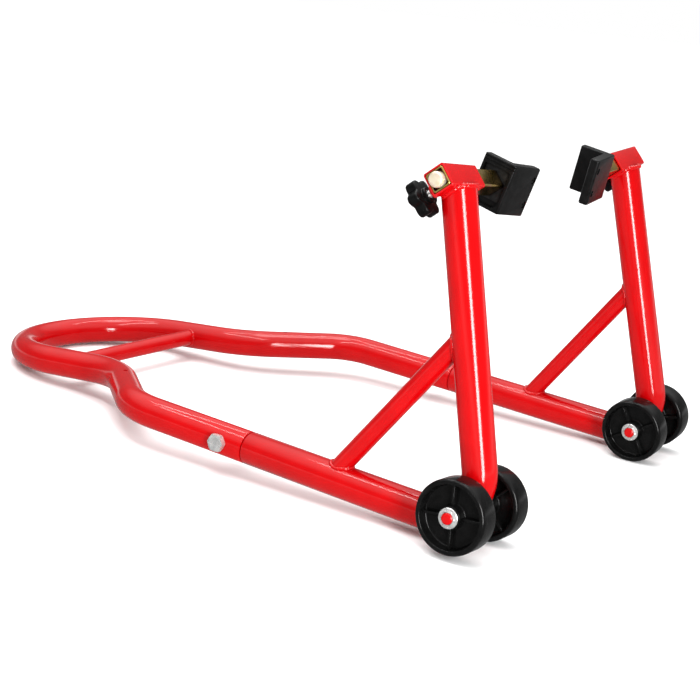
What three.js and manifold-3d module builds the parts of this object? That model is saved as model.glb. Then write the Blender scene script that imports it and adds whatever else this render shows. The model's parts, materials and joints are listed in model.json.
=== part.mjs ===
// Rear paddock stand: two bent side frames on twin wheels, joined by a bolt-on handle loop, with a sliding
// and swivelling L-shaped swingarm pad in the square head tube of each side frame.
// Units are millimetres, +Z is up, +X points from the handle to the wheels. The origin is the bottom centre
// of the bounding box. Every part of a side is built on the left (-Y) side and mirrored in the plane y = 0.
// Only the angles the free-turning wheels and pads rest at differ from side to side.
import * as THREE from "three";
import { mergeVertices, toCreasedNormals } from "three/addons/utils/BufferGeometryUtils.js";
import Module from "manifold-3d";

const wasm = await Module();
wasm.setup();

// ---- driving dimensions -------------------------------------------------------------------------------
const GAP = 0.3;                      // clearance between pieces that touch or are welded
const TUBE_R = 19;                    // main tube, 38 mm outside diameter
const SMALL_TUBE_R = 11;              // braces and crossbar, 22 mm outside diameter
const AXLE = { x: 403.6, y: 243.7, z: 43.51 };   // where the axle crosses the plane of its side frame
const LEAN = 3.7;                     // degrees each side frame leans inboard
const RAIL = { rise: 2.61, drop: -20.82 };       // slope in degrees, height under the axle in the side plane
const UPRIGHT = { lean: 14.57, offset: 11.93 };  // degrees from the vertical and position at axle height
const CORNER_BEND_R = 50;             // bend between the rail and the upright
const UPRIGHT_TOP = 326.5;            // height of the upright's cut end in the side frame plane
const JOINT_S = -290;                 // where the handle's socket starts, along the rail from the axle
const JOINT_GAP = 0.8;                // line between the socket's end and the rail's shoulder
const SPIGOT = { r: 16.7, length: 62 };
const SOCKET = { r: 17, length: 70 };
const BOLT_S = -320;                  // joint bolt, along the rail from the axle
const BOLT = { shank: 6, flats: 19, head: 7.5, nut: 10, tail: 3 };
const BRACE = { railS: -177, uprightU: 182.3 };

const LOOP = { neckX: -581.6, neckY: 134.9, neckZ: 39.4, endX: -828.5, endR: 132.4 };  // from the axle
const SHOULDER_S = -464.3;            // first bend of the handle, along the rail from the axle
const SHOULDER_BEND_R = 86;
const NECK_BEND_R = 120;
const CROSSBAR_X = -668.6;            // from the axle
const VENT = { r: 3, depth: 4 };

const WHEEL = { r: 40.3, width: 29.2, inner: 24.2, bore: 6.6, hubR: 12.5, rimR: 33, webHalf: 3 };
const WHEEL_RIBS = 4;
const WHEEL_TURN = { left: { outer: 4, inner: 45 }, right: { outer: 10, inner: 30 } };   // degrees
const RIB = { thickness: 3, recess: 5 };
const AXLE_R = 6.3;
const AXLE_TIP = 5.6;                 // how far the axle stands out past the wheel
const SPACER_R = 10;
const RETAINER = { r: 11, thickness: 1.6, lip: 8.6, lipHeight: 3 };

const HEAD = { s: -78.9, u: 332.6, tilt: 4.7, turn: 39.7, side: 26, wall: 1.8, half: 36 };
const SLIDE = { side: 21.3, wall: 1.6, outer: 36.4, inner: -87.2, web: 4, webAt: 32.4 };
const PIVOT = { headR: 8.3, headTop: 43.4, headBase: 32.7, shank: 5, end: -91.2 };
const NUT8 = { flats: 13, height: 7, bore: 4.3 };
const CLAMP = { o: 17.5, y: -2.5 };   // clamp stud axis from the middle of the head tube
const KNOB = { r: 21.5, valley: 16.5, lobes: 6, base: 27.5, top: 40.5, bossR: 9, bossBase: 24 };
const STUD = { r: 4, tip: 10.95, end: 38 };

const PAD = {
  tilt: { left: -14.6, right: -11 },  // degrees about the head tube's axis
  yaw: -3.8, yawAt: -88,              // the plate toes in about this point of the swivel axis
  aMin: -21, aMax: 21, bMin: -28.4, bMax: 28.4,
  back: -84.7, face: -96, lipFace: -141, lip: 12,
};
const POCKET = { aMin: -17, aMax: 17, bMin: -25, bMax: 18.1, floor: -91.8 };
const BRACKET = { t: 3, aMin: -16.4, aMax: 15, bMin: -17.5, bMax: 17.5, back: -88.5, end: -137, play: 0.6 };
const PAD_SCREW = { o: -133.5, b: [-14.2, 14.2], r: 2, headR: 3.8, head: 2.4, sink: 1.2, tip: 10.9 };

const ROUND = 20;                     // facets around the main tubes
const FINE = 24;                      // facets around turned pieces

// ---- solid helpers ------------------------------------------------------------------------------------
const DEG = Math.PI / 180;
const v3 = (x, y, z) => new THREE.Vector3(x, y, z);
const v2 = (x, y) => new THREE.Vector2(x, y);

function signedVolume(geometry) {
  const p = geometry.getAttribute("position");
  const index = geometry.getIndex();
  const [a, b, c] = [v3(0, 0, 0), v3(0, 0, 0), v3(0, 0, 0)];
  let sum = 0;
  for (let i = 0; i < index.count; i += 3) {
    a.fromBufferAttribute(p, index.getX(i));
    b.fromBufferAttribute(p, index.getX(i + 1));
    c.fromBufferAttribute(p, index.getX(i + 2));
    sum += a.dot(b.cross(c));
  }
  return sum / 6;
}

function flip(geometry) {
  const index = geometry.getIndex();
  for (let i = 0; i < index.count; i += 3) {
    const first = index.getX(i);
    index.setX(i, index.getX(i + 1));
    index.setX(i + 1, first);
  }
  return geometry;
}

// A closed, outward-facing indexed geometry with only positions.
function closed(geometry) {
  const bare = new THREE.BufferGeometry();
  bare.setAttribute("position", geometry.getAttribute("position").clone());
  if (geometry.getIndex()) bare.setIndex(geometry.getIndex().clone());
  const merged = mergeVertices(bare, 1e-4);
  return signedVolume(merged) < 0 ? flip(merged) : merged;
}

function toSolid(geometry) {
  const g = closed(geometry);
  const mesh = new wasm.Mesh({
    numProp: 3,
    vertProperties: new Float32Array(g.getAttribute("position").array),
    triVerts: new Uint32Array(g.getIndex().array),
  });
  mesh.merge();
  return new wasm.Manifold(mesh);
}

function fromSolid(solid) {
  const mesh = solid.getMesh();
  const g = new THREE.BufferGeometry();
  g.setAttribute("position", new THREE.BufferAttribute(new Float32Array(mesh.vertProperties), 3));
  g.setIndex(new THREE.BufferAttribute(new Uint32Array(mesh.triVerts), 1));
  return g;
}

function join(...geometries) {
  return fromSolid(geometries.map(toSolid).reduce((sum, s) => sum.add(s)));
}

function cut(geometry, ...tools) {
  return fromSolid(tools.map(toSolid).reduce((rest, s) => rest.subtract(s), toSolid(geometry)));
}

// ---- shape helpers, all along local Z -----------------------------------------------------------------
function prism(outline, z0, z1, bevel = 0) {
  const options = { depth: z1 - z0 - 2 * bevel, bevelEnabled: bevel > 0 };
  if (bevel > 0) {
    const bevels = { bevelSize: bevel, bevelThickness: bevel, bevelOffset: -bevel, bevelSegments: 1 };
    Object.assign(options, bevels);
  }
  const g = new THREE.ExtrudeGeometry(new THREE.Shape(outline), options);
  return g.translate(0, 0, z0 + bevel);
}

function rectangle(x0, x1, y0, y1, corner = 0) {
  if (corner === 0) return [v2(x0, y0), v2(x1, y0), v2(x1, y1), v2(x0, y1)];
  const points = [];
  const centres = [[x1 - corner, y0 + corner, -90], [x1 - corner, y1 - corner, 0],
    [x0 + corner, y1 - corner, 90], [x0 + corner, y0 + corner, 180]];
  for (const [cx, cy, start] of centres) {
    for (let i = 0; i <= 3; i++) {
      const angle = (start + 30 * i) * DEG;
      points.push(v2(cx + corner * Math.cos(angle), cy + corner * Math.sin(angle)));
    }
  }
  return points;
}

function square(side, corner = 0) {
  return rectangle(-side / 2, side / 2, -side / 2, side / 2, corner);
}

function ring(radius, count, start = 0) {
  return Array.from({ length: count }, (_, i) => {
    const angle = start + (2 * Math.PI * i) / count;
    return v2(radius * Math.cos(angle), radius * Math.sin(angle));
  });
}

function rod(radius, z0, z1, facets = FINE) {
  return prism(ring(radius, facets), z0, z1);
}

function hexagon(flats) {
  return ring(flats / Math.sqrt(3), 6);
}

// Turned body about Z from [radius, height] pairs that start and end on the axis, or form a closed loop.
function turned(profile, facets = FINE) {
  const g = new THREE.LatheGeometry(profile.map(([r, h]) => v2(r, h)), facets);
  return g.rotateX(Math.PI / 2);
}

// A path whose spaced points are exactly its stations, so a bend gets rings only where it needs them.
class StationPath extends THREE.Curve {
  constructor(points, tangents) {
    super();
    this.points = points;
    this.tangents = tangents;
  }

  getPoint(t, target = new THREE.Vector3()) {
    return target.copy(this.points[Math.round(t * (this.points.length - 1))]);
  }

  getPointAt(t, target) {
    return this.getPoint(t, target);
  }

  getTangentAt(t, target = new THREE.Vector3()) {
    return target.copy(this.tangents[Math.round(t * (this.tangents.length - 1))]);
  }
}

// Stations along a polyline whose inner corners are rounded with the given radii, about one per `step`
// degrees.
function roundedPath(corners, radii, step) {
  const points = [corners[0].clone()];
  const tangents = [corners[1].clone().sub(corners[0]).normalize()];
  for (let i = 1; i < corners.length - 1; i++) {
    const before = corners[i - 1].clone().sub(corners[i]).normalize();
    const after = corners[i + 1].clone().sub(corners[i]).normalize();
    const opening = before.angleTo(after);
    const reach = radii[i - 1] / Math.tan(opening / 2);
    const toCentre = before.clone().add(after).normalize();
    const centre = corners[i].clone().addScaledVector(toCentre, radii[i - 1] / Math.sin(opening / 2));
    const start = corners[i].clone().addScaledVector(before, reach);
    const spoke = start.sub(centre);
    const axis = before.clone().negate().cross(after).normalize();
    const turn = Math.PI - opening;
    const count = Math.max(2, Math.ceil(turn / DEG / step));
    for (let k = 0; k <= count; k++) {
      const angle = (turn * k) / count;
      points.push(spoke.clone().applyAxisAngle(axis, angle).add(centre));
      tangents.push(before.clone().negate().applyAxisAngle(axis, angle));
    }
  }
  points.push(corners[corners.length - 1].clone());
  tangents.push(corners[corners.length - 1].clone().sub(corners[corners.length - 2]).normalize());
  return new StationPath(points, tangents);
}

function sweep(path, radius, facets = ROUND) {
  const shape = new THREE.Shape(ring(radius, facets));
  return new THREE.ExtrudeGeometry(shape, { extrudePath: path, steps: path.points.length - 1 });
}

function bar(from, to, radius, facets = ROUND) {
  const direction = to.clone().sub(from).normalize();
  return sweep(new StationPath([from, to], [direction, direction]), radius, facets);
}

// ---- frames of the left side --------------------------------------------------------------------------
// A frame whose x is +X and whose y leans inboard by `tilt` degrees, so its z points outboard and up.
function leftFrame(tilt, origin) {
  const [sin, cos] = [Math.sin(tilt * DEG), Math.cos(tilt * DEG)];
  return new THREE.Matrix4().makeBasis(v3(1, 0, 0), v3(0, sin, cos), v3(0, -cos, sin)).setPosition(origin);
}

// Side frame: local x runs along +X, local y up the leaning plane, local z outboard along the axle.
const sideFrame = leftFrame(LEAN, v3(AXLE.x, -AXLE.y, AXLE.z));

const railU = (s) => RAIL.drop - s * Math.tan(RAIL.rise * DEG);
const uprightS = (u) => UPRIGHT.offset - u * Math.tan(UPRIGHT.lean * DEG);
const inSide = (s, u, o = 0) => v3(s, u, o).applyMatrix4(sideFrame);

// Head tube: local z runs outboard along the tube, local y up, local x along +X.
const headFrame = leftFrame(HEAD.tilt, inSide(HEAD.s, HEAD.u));
const squareFrame = headFrame.clone().multiply(new THREE.Matrix4().makeRotationZ(HEAD.turn * DEG));
const clampOffset = new THREE.Matrix4().makeTranslation(0, CLAMP.y, CLAMP.o);
// Knob: local z runs out along the clamp stud, square to the head tube's lower rear face.
const knobFrame = squareFrame.clone().multiply(clampOffset)
  .multiply(new THREE.Matrix4().makeRotationY(-Math.PI / 2));

// Pad: local x runs from the plate's rear edge to the lip, local y up the plate, local z outboard.
function padFrame(tilt) {
  return headFrame.clone()
    .multiply(new THREE.Matrix4().makeRotationZ(tilt * DEG))
    .multiply(new THREE.Matrix4().makeTranslation(0, 0, PAD.yawAt))
    .multiply(new THREE.Matrix4().makeRotationY(PAD.yaw * DEG))
    .multiply(new THREE.Matrix4().makeTranslation(0, 0, -PAD.yawAt));
}

const place = (geometry, frame) => geometry.applyMatrix4(frame);

// ---- side frame ---------------------------------------------------------------------------------------
function cornerPoint() {
  const slope = Math.tan(RAIL.rise * DEG);
  const lean = Math.tan(UPRIGHT.lean * DEG);
  const s = (UPRIGHT.offset - lean * RAIL.drop) / (1 - lean * slope);
  return v3(s, railU(s), 0);
}

function sideTubePath(railEnd, top) {
  const corners = [v3(railEnd, railU(railEnd), 0), cornerPoint(), v3(uprightS(top), top, 0)];
  return roundedPath(corners, [CORNER_BEND_R], 11);
}

function headEnvelope(extra) {
  return place(prism(square(HEAD.side + 2 * extra), -HEAD.half - 4, HEAD.half + 4), squareFrame);
}

function clampNutEnvelope() {
  const face = HEAD.side / 2;
  return place(prism(hexagon(NUT8.flats + 2 * GAP), face, face + NUT8.height + 2 * GAP), knobFrame);
}

function boltHole(radius) {
  return rod(radius, -40, 40, 16).translate(BOLT_S, railU(BOLT_S), 0).applyMatrix4(sideFrame);
}

function sideTube() {
  const tube = place(sweep(sideTubePath(JOINT_S + JOINT_GAP, UPRIGHT_TOP), TUBE_R), sideFrame);
  const tip = JOINT_S - SPIGOT.length;
  const spigot = bar(inSide(tip, railU(tip)), inSide(JOINT_S + 8, railU(JOINT_S + 8)), SPIGOT.r);
  const axleHole = place(rod(AXLE_R + GAP, -40, 40), sideFrame);
  const whole = join(tube, spigot);
  return cut(whole, headEnvelope(GAP), clampNutEnvelope(), axleHole, boltHole(BOLT.shank + GAP));
}

function brace() {
  const foot = inSide(BRACE.railS, railU(BRACE.railS));
  const top = inSide(uprightS(BRACE.uprightU), BRACE.uprightU);
  const clear = place(sweep(sideTubePath(JOINT_S, UPRIGHT_TOP), TUBE_R + GAP, 36), sideFrame);
  return cut(bar(foot, top, SMALL_TUBE_R, 20), clear);
}

function headTube() {
  const outer = prism(square(HEAD.side, 1.6), -HEAD.half, HEAD.half);
  const inner = prism(square(HEAD.side - 2 * HEAD.wall), -HEAD.half - 1, HEAD.half + 1);
  const studHole = rod(NUT8.bore, HEAD.side / 2 - 4, HEAD.side / 2 + 2, 16)
    .rotateY(-Math.PI / 2).translate(0, CLAMP.y, CLAMP.o);
  return place(cut(outer, inner, studHole), squareFrame);
}

function clampNut() {
  const base = HEAD.side / 2 + GAP;
  const body = prism(hexagon(NUT8.flats), base, base + NUT8.height);
  return place(cut(body, rod(NUT8.bore, base - 1, base + NUT8.height + 1, 16)), knobFrame);
}

// ---- wheels -------------------------------------------------------------------------------------------
const wheelOuterFace = WHEEL.inner + WHEEL.width;

function axle() {
  const tip = wheelOuterFace + AXLE_TIP;
  const small = AXLE_R - 1;
  const profile = [[0, -tip], [small, -tip], [AXLE_R, -tip + 1], [AXLE_R, tip - 1], [small, tip], [0, tip]];
  return place(turned(profile, 20), sideFrame);
}

function spacer(side) {
  const [near, far] = [10, WHEEL.inner - GAP];
  const sleeve = cut(rod(SPACER_R, near, far, 20), rod(AXLE_R + GAP, near - 1, far + 1, 20));
  const tube = sweep(sideTubePath(-120, 120), TUBE_R + GAP);
  const trimmed = cut(side > 0 ? sleeve : sleeve.rotateX(Math.PI), tube);
  return place(trimmed, sideFrame);
}

function wheelProfile() {
  const { r, width, bore, hubR, rimR, webHalf } = WHEEL;
  const half = width / 2;
  return [
    [bore, -half], [hubR, -half], [hubR, -webHalf], [rimR, -webHalf], [rimR + 1.5, -half], [r - 2.5, -half],
    [r, -half + 2.5], [r, half - 2.5], [r - 2.5, half],
    [rimR + 1.5, half], [rimR, webHalf], [hubR, webHalf],
    [hubR, half], [bore, half], [bore, -half],
  ];
}

function wheel(middle, turn) {
  const half = WHEEL.width / 2 - RIB.recess;
  const body = turned(wheelProfile(), 32);
  const blade = rectangle(-WHEEL.rimR - 0.8, WHEEL.rimR + 0.8, -RIB.thickness / 2, RIB.thickness / 2);
  const ribs = Array.from({ length: WHEEL_RIBS / 2 }, (_, i) => (
    prism(blade, -half, half).rotateZ(turn * DEG + (2 * Math.PI * i) / WHEEL_RIBS)
  ));
  const bored = cut(join(body, ...ribs), rod(WHEEL.bore, -WHEEL.width, WHEEL.width, 32));
  return place(bored.translate(0, 0, middle), sideFrame);
}

function retainer(side) {
  const { r, thickness, lip, lipHeight } = RETAINER;
  const hole = AXLE_R + GAP;
  const base = wheelOuterFace + GAP;
  const profile = [
    [hole, base], [r, base], [r, base + thickness], [lip, base + thickness],
    [hole + 0.8, base + lipHeight], [hole, base + lipHeight], [hole, base],
  ];
  const cap = turned(profile, 20);
  return place(side > 0 ? cap : cap.rotateX(Math.PI), sideFrame);
}

// ---- slide, pivot and clamp knob ----------------------------------------------------------------------
function slideTube() {
  const { side, wall, outer, inner, web, webAt } = SLIDE;
  const body = prism(square(side, 1.8), inner, outer);
  const bore = side - 2 * wall;
  const mouth = prism(square(bore), webAt, outer + 1);
  const cavity = prism(square(bore), inner + web, webAt - web);
  const pivotHole = rod(PIVOT.shank + GAP, inner - 1, outer, 24);
  return place(cut(body, mouth, cavity, pivotHole), squareFrame);
}

function pivotBolt() {
  const { headR, headTop, headBase, shank, end } = PIVOT;
  const profile = [
    [0, end], [shank, end], [shank, headBase], [headR, headBase], [headR, headTop - 1.2],
    [headR - 1.4, headTop], [0, headTop],
  ];
  return place(turned(profile, 24), headFrame);
}

function knobOutline() {
  const steps = KNOB.lobes * 6;
  return Array.from({ length: steps }, (_, i) => {
    const angle = (2 * Math.PI * i) / steps;
    const wave = 0.5 + 0.5 * Math.cos(KNOB.lobes * angle);
    const radius = KNOB.valley + (KNOB.r - KNOB.valley) * Math.pow(wave, 0.7);
    return v2(radius * Math.cos(angle), radius * Math.sin(angle));
  });
}

function knob() {
  const star = prism(knobOutline(), KNOB.base, KNOB.top, 1.5);
  const boss = rod(KNOB.bossR, KNOB.bossBase, KNOB.base + 2);
  const bore = rod(STUD.r + GAP, KNOB.bossBase - 1, STUD.end + GAP, 16);
  return place(cut(join(star, boss), bore), knobFrame);
}

function knobStud() {
  return place(rod(STUD.r, STUD.tip, STUD.end, 16), knobFrame);
}

// ---- swingarm pad -------------------------------------------------------------------------------------
function padSection() {
  const lipRoot = PAD.aMax - PAD.lip;
  return [
    v2(PAD.aMin, PAD.back), v2(PAD.aMin, PAD.face), v2(lipRoot, PAD.face), v2(lipRoot, PAD.lipFace),
    v2(PAD.aMax, PAD.lipFace), v2(PAD.aMax, PAD.back),
  ];
}

// Extrudes an outline in the pad's x-z section from y0 to y1.
function alongPad(outline, y0, y1, bevel = 0) {
  return prism(outline, -y1, -y0, bevel).rotateX(Math.PI / 2);
}

function padScrewHole(b, radius, from, to) {
  return rod(radius, from, to, 12).rotateY(Math.PI / 2).translate(0, b, PAD_SCREW.o);
}

function pad(tilt) {
  const block = alongPad(padSection(), PAD.bMin, PAD.bMax, 1);
  const { aMin, aMax, bMin, bMax, floor } = POCKET;
  const pocket = prism(rectangle(aMin, aMax, bMin, bMax), floor, PAD.back + 1);
  const slot = prism(
    rectangle(BRACKET.aMax - BRACKET.t - GAP, BRACKET.aMax + GAP, BRACKET.bMin - GAP, BRACKET.bMax + GAP),
    BRACKET.end - GAP, floor + 1,
  );
  const holes = PAD_SCREW.b.flatMap((b) => [
    padScrewHole(b, PAD_SCREW.r + GAP, PAD_SCREW.tip, PAD.aMax + 1),
    padScrewHole(b, PAD_SCREW.headR + GAP, PAD.aMax - PAD_SCREW.sink - PAD_SCREW.head - GAP, PAD.aMax + 1),
  ]);
  return place(cut(block, pocket, slot, ...holes), padFrame(tilt));
}

function padBracket(tilt) {
  const { t, aMin, aMax, bMin, bMax, back, end, play } = BRACKET;
  const section = [
    v2(aMin, back), v2(aMin, back - t), v2(aMax - t, back - t), v2(aMax - t, end),
    v2(aMax, end), v2(aMax, back),
  ];
  const angle = alongPad(section, bMin, bMax);
  const pivotHole = rod(PIVOT.shank + play, back - t - 1, back + 1, 24);
  const holes = PAD_SCREW.b.map((b) => padScrewHole(b, PAD_SCREW.r + GAP, aMax - t - 1, aMax + 1));
  return place(cut(angle, pivotHole, ...holes), padFrame(tilt));
}

function padScrew(tilt, b) {
  const top = PAD.aMax - PAD_SCREW.sink;
  const { r, headR, head, tip } = PAD_SCREW;
  const profile = [
    [0, tip + GAP], [r, tip + GAP], [r, top - head], [headR, top - head], [headR, top - 0.8],
    [headR - 0.9, top], [0, top],
  ];
  return place(turned(profile, 12).rotateY(Math.PI / 2).translate(0, b, PAD_SCREW.o), padFrame(tilt));
}

// ---- joint fasteners ----------------------------------------------------------------------------------
const atBolt = (geometry) => place(geometry.translate(BOLT_S, railU(BOLT_S), 0), sideFrame);

function jointBolt() {
  const seat = TUBE_R + GAP;
  const outline = hexagon(BOLT.flats);
  const head = prism(outline, seat, seat + BOLT.head, 0.6);
  const end = -(seat + BOLT.nut + BOLT.tail);
  return atBolt(join(head, rod(BOLT.shank, end, seat + 1, 16)));
}

function jointNut() {
  const seat = -(TUBE_R + GAP);
  const body = prism(hexagon(BOLT.flats), seat - BOLT.nut, seat, 0.6);
  return atBolt(cut(body, rod(BOLT.shank + GAP, seat - BOLT.nut - 1, seat + 1, 16)));
}

// ---- handle -------------------------------------------------------------------------------------------
const mirrorPoint = (p) => v3(p.x, -p.y, p.z);
const loopSlope = (LOOP.neckZ - TUBE_R) / (LOOP.neckX - LOOP.endX);
const loopZ = (x) => TUBE_R + (x - AXLE.x - LOOP.endX) * loopSlope;
const onLoop = (x, y) => v3(AXLE.x + x, y, loopZ(AXLE.x + x));

// Half of the handle's centreline, from the left socket to the middle of the loop's end.
function handleCorners() {
  const socket = inSide(JOINT_S, railU(JOINT_S));
  const shoulder = inSide(SHOULDER_S, railU(SHOULDER_S));
  const neck = onLoop(LOOP.neckX, -LOOP.neckY);
  const corner = onLoop(LOOP.endX, -LOOP.endR);
  return [socket, shoulder, neck, corner];
}

function handlePath() {
  const left = handleCorners();
  const corners = [...left, ...left.slice().reverse().map(mirrorPoint)];
  const endBend = LOOP.endR - 0.5;
  const bends = [SHOULDER_BEND_R, NECK_BEND_R, endBend, endBend, NECK_BEND_R, SHOULDER_BEND_R];
  return roundedPath(corners, bends, 11);
}

function ventHole() {
  const [, shoulder, neck] = handleCorners();
  const middle = shoulder.clone().lerp(neck, 0.62);
  return rod(VENT.r, TUBE_R - VENT.depth, TUBE_R + 5, 12).translate(middle.x, middle.y, middle.z);
}

function socketBore() {
  const end = JOINT_S - SOCKET.length;
  return bar(inSide(end, railU(end)), inSide(JOINT_S + 5, railU(JOINT_S + 5)), SOCKET.r);
}

function handleLoop() {
  const left = [socketBore(), boltHole(BOLT.shank + GAP), ventHole()];
  const right = left.map(mirrored);
  return cut(sweep(handlePath(), TUBE_R), ...left, ...right);
}

function crossbar() {
  const x = CROSSBAR_X;
  const clear = sweep(handlePath(), TUBE_R + GAP, 36);
  return cut(bar(onLoop(x, -LOOP.endR), onLoop(x, LOOP.endR), SMALL_TUBE_R, 20), clear);
}

// ---- assembly -----------------------------------------------------------------------------------------
const MATERIALS = {
  red: { color: 0xd4141a, roughness: 0.3, metalness: 0.0 },
  yellowZinc: { color: 0xb79a3e, roughness: 0.35, metalness: 0.9 },
  zinc: { color: 0xc4c7c9, roughness: 0.35, metalness: 0.9 },
  plastic: { color: 0x141416, roughness: 0.5, metalness: 0.0 },
  rubber: { color: 0x222226, roughness: 0.75, metalness: 0.0 },
  blackSteel: { color: 0x1a1a1c, roughness: 0.45, metalness: 0.6 },
};

function mirrored(geometry) {
  return flip(closed(geometry.clone()).scale(1, -1, 1));
}

const stand = new THREE.Group();
stand.name = "paddock_stand";

function add(name, geometry, material) {
  const smooth = toCreasedNormals(closed(geometry), 32 * DEG);
  const finish = new THREE.MeshStandardMaterial({ ...MATERIALS[material], name: material });
  const mesh = new THREE.Mesh(smooth, finish);
  mesh.name = name;
  stand.add(mesh);
}

function addPair(name, geometry, material) {
  addEach(name, () => geometry, material);
}

// Adds both sides of a part whose rest angle depends on the side; `build` gives the left-hand shape.
function addEach(name, build, material) {
  add(`left_${name}`, build("left"), material);
  add(`right_${name}`, mirrored(build("right")), material);
}

addPair("side_tube", sideTube(), "red");
addPair("brace_tube", brace(), "red");
addPair("head_tube", headTube(), "red");
addPair("clamp_nut", clampNut(), "red");
addPair("axle", axle(), "red");

const wheelMiddle = WHEEL.inner + WHEEL.width / 2;
for (const [where, side] of [["outer", 1], ["inner", -1]]) {
  addPair(`${where}_spacer`, spacer(side), "zinc");
  addEach(`${where}_wheel`, (hand) => wheel(side * wheelMiddle, WHEEL_TURN[hand][where]), "plastic");
  addPair(`${where}_retainer`, retainer(side), "zinc");
}

add("handle_loop", handleLoop(), "red");
add("handle_crossbar", crossbar(), "red");
addPair("joint_bolt", jointBolt(), "zinc");
addPair("joint_nut", jointNut(), "zinc");

addPair("slide_tube", slideTube(), "yellowZinc");
addPair("pivot_bolt", pivotBolt(), "yellowZinc");
addPair("knob", knob(), "plastic");
addPair("knob_stud", knobStud(), "zinc");

addEach("pad_bracket", (hand) => padBracket(PAD.tilt[hand]), "blackSteel");
addEach("pad", (hand) => pad(PAD.tilt[hand]), "rubber");
PAD_SCREW.b.forEach((b, i) => {
  addEach(`pad_screw_${i ? "upper" : "lower"}`, (hand) => padScrew(PAD.tilt[hand], b), "blackSteel");
});

export default stand;
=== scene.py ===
import json
import math
from math import radians

import bmesh
import bpy
import numpy as np
from mathutils import Matrix, Vector


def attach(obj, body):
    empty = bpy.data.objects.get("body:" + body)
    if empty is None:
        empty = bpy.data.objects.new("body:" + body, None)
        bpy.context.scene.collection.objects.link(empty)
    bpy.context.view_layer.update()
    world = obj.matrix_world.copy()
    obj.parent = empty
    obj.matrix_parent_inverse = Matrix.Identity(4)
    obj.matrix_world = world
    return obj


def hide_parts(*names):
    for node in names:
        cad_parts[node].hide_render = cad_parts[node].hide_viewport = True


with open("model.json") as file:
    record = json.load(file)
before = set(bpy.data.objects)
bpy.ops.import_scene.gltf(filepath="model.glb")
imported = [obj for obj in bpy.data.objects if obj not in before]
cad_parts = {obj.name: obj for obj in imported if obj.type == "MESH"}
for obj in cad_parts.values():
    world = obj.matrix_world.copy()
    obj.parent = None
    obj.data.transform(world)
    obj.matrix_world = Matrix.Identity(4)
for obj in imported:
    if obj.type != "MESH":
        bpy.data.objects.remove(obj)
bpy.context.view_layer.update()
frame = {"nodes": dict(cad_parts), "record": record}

# Lengths are in millimetres in the frame of the CAD part, and MM takes them to Blender's metres. Those of
# the materials and the stage are in metres. Angles are in degrees. Shapes are made for the left (-Y) side
# and mirrored in y = 0 for the right. In names, S and U are places along and up a side frame, A and B are
# places across and up a pad, and O is a place outboard.
MM = 0.001
GAP = 0.3
CREASE = 32

# Side frames and handle.
TUBE_R, TUBE_FACETS = 19, 64
SMALL_TUBE_R, SMALL_TUBE_FACETS = 11, 48
AXLE_AT = Vector((403.6, -243.7, 43.51))
LEAN = 3.7
RAIL_RISE, RAIL_DROP = 2.61, -20.82
UPRIGHT_LEAN, UPRIGHT_OFFSET, UPRIGHT_TOP, UPRIGHT_REACH = 14.57, 11.93, 326.5, 34
CORNER_BEND_R = 50
JOINT_S, JOINT_GAP = -290, 0.8
SPIGOT_R, SPIGOT_LENGTH = 16.7, 62
SOCKET_R, SOCKET_LENGTH = 17, 70
BOLT_S, BOLT_SHANK, BOLT_FLATS, BOLT_HEAD, BOLT_NUT, BOLT_TAIL = -320, 6, 19, 7.5, 10, 3
BOLT_PITCH, BOLT_DISH = 1.75, 0.5
BRACE_RAIL_S, BRACE_UPRIGHT_U = -177, 182.3
NECK_X, NECK_Y, NECK_Z = -581.6, 134.9, 39.4
LOOP_END_X, LOOP_END_R = -828.5, 132.4
SHOULDER_S = -464.3
SHOULDER_BEND_R, NECK_BEND_R = 86, 120
CROSSBAR_X = -668.6
VENT_R, VENT_DEPTH, VENT_SHARE = 3, 4, 0.62

# Welds, ends fitted to a surface, and hexagons.
NO_LIMIT = 1e9
SURFACE_STEPS = 60
BEAD_FACETS, BEAD_STATIONS, BEAD_RIPPLE, BEAD_WANDER = 12, 120, 0.09, 0.13
BEAD_PITCH, NUT_BEAD_PITCH = 3.6, 2.8
HEAD_BEAD, BRACE_BEAD, CROSSBAR_BEAD, NUT_BEAD = 2.9, 2.1, 2.0, 1.3
HEX_FACE, HEX_CHAMFER = 0.95, 0.58

# Wheels and axles.
WHEEL_R, WHEEL_HALF, WHEEL_IN, BORE_R, HUB_R, RIM_R, WEB_HALF = 40.3, 14.6, 24.2, 6.6, 12.5, 33, 3
RIBS, RIB_RECESS, RIB_HALF, RIB_EDGE = 4, 5, 1.5, 0.9
WHEEL_TURN = {"left": {"outer": 4, "inner": 45}, "right": {"outer": 10, "inner": 30}}
AXLE_R, AXLE_END, SPACER_R, SPACER_FACETS = 6.3, 59, 10, 56
RETAINER_R, RETAINER_STATIONS, TOOTH_STATIONS, SLIT_STATIONS, SLIT_DEPTH = 11.0, 120, 20, 3, 0.9

# Head and slide tubes, pivot and clamp.
HEAD_S, HEAD_U, HEAD_TILT, HEAD_TURN = -78.9, 332.6, 4.7, 39.7
HEAD_SIDE, HEAD_WALL, HEAD_HALF = 26, 1.8, 36
HEAD_CORNER, HEAD_INNER_CORNER, HEAD_EDGE = 2.2, 1.0, 0.35
SLIDE_SIDE, SLIDE_WALL, SLIDE_OUT, SLIDE_IN, SLIDE_FLOOR = 21.3, 1.6, 36.4, -87.2, 32.4
SLIDE_CORNER, SLIDE_INNER_CORNER, SLIDE_EDGE = 2.4, 1.6, 0.4
PIVOT_R, PIVOT_HEAD_R, PIVOT_BASE, PIVOT_TOP, PIVOT_END = 5, 8.3, 32.7, 43.4, -91.2
CLAMP_O, CLAMP_Y = 17.5, -2.5
NUT8_FLATS, NUT8_HEIGHT, NUT8_BORE = 13, 7, 4.3
STUD_R, STUD_TIP, STUD_END, STUD_PITCH = 4, 10.95, 38, 1.25
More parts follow.
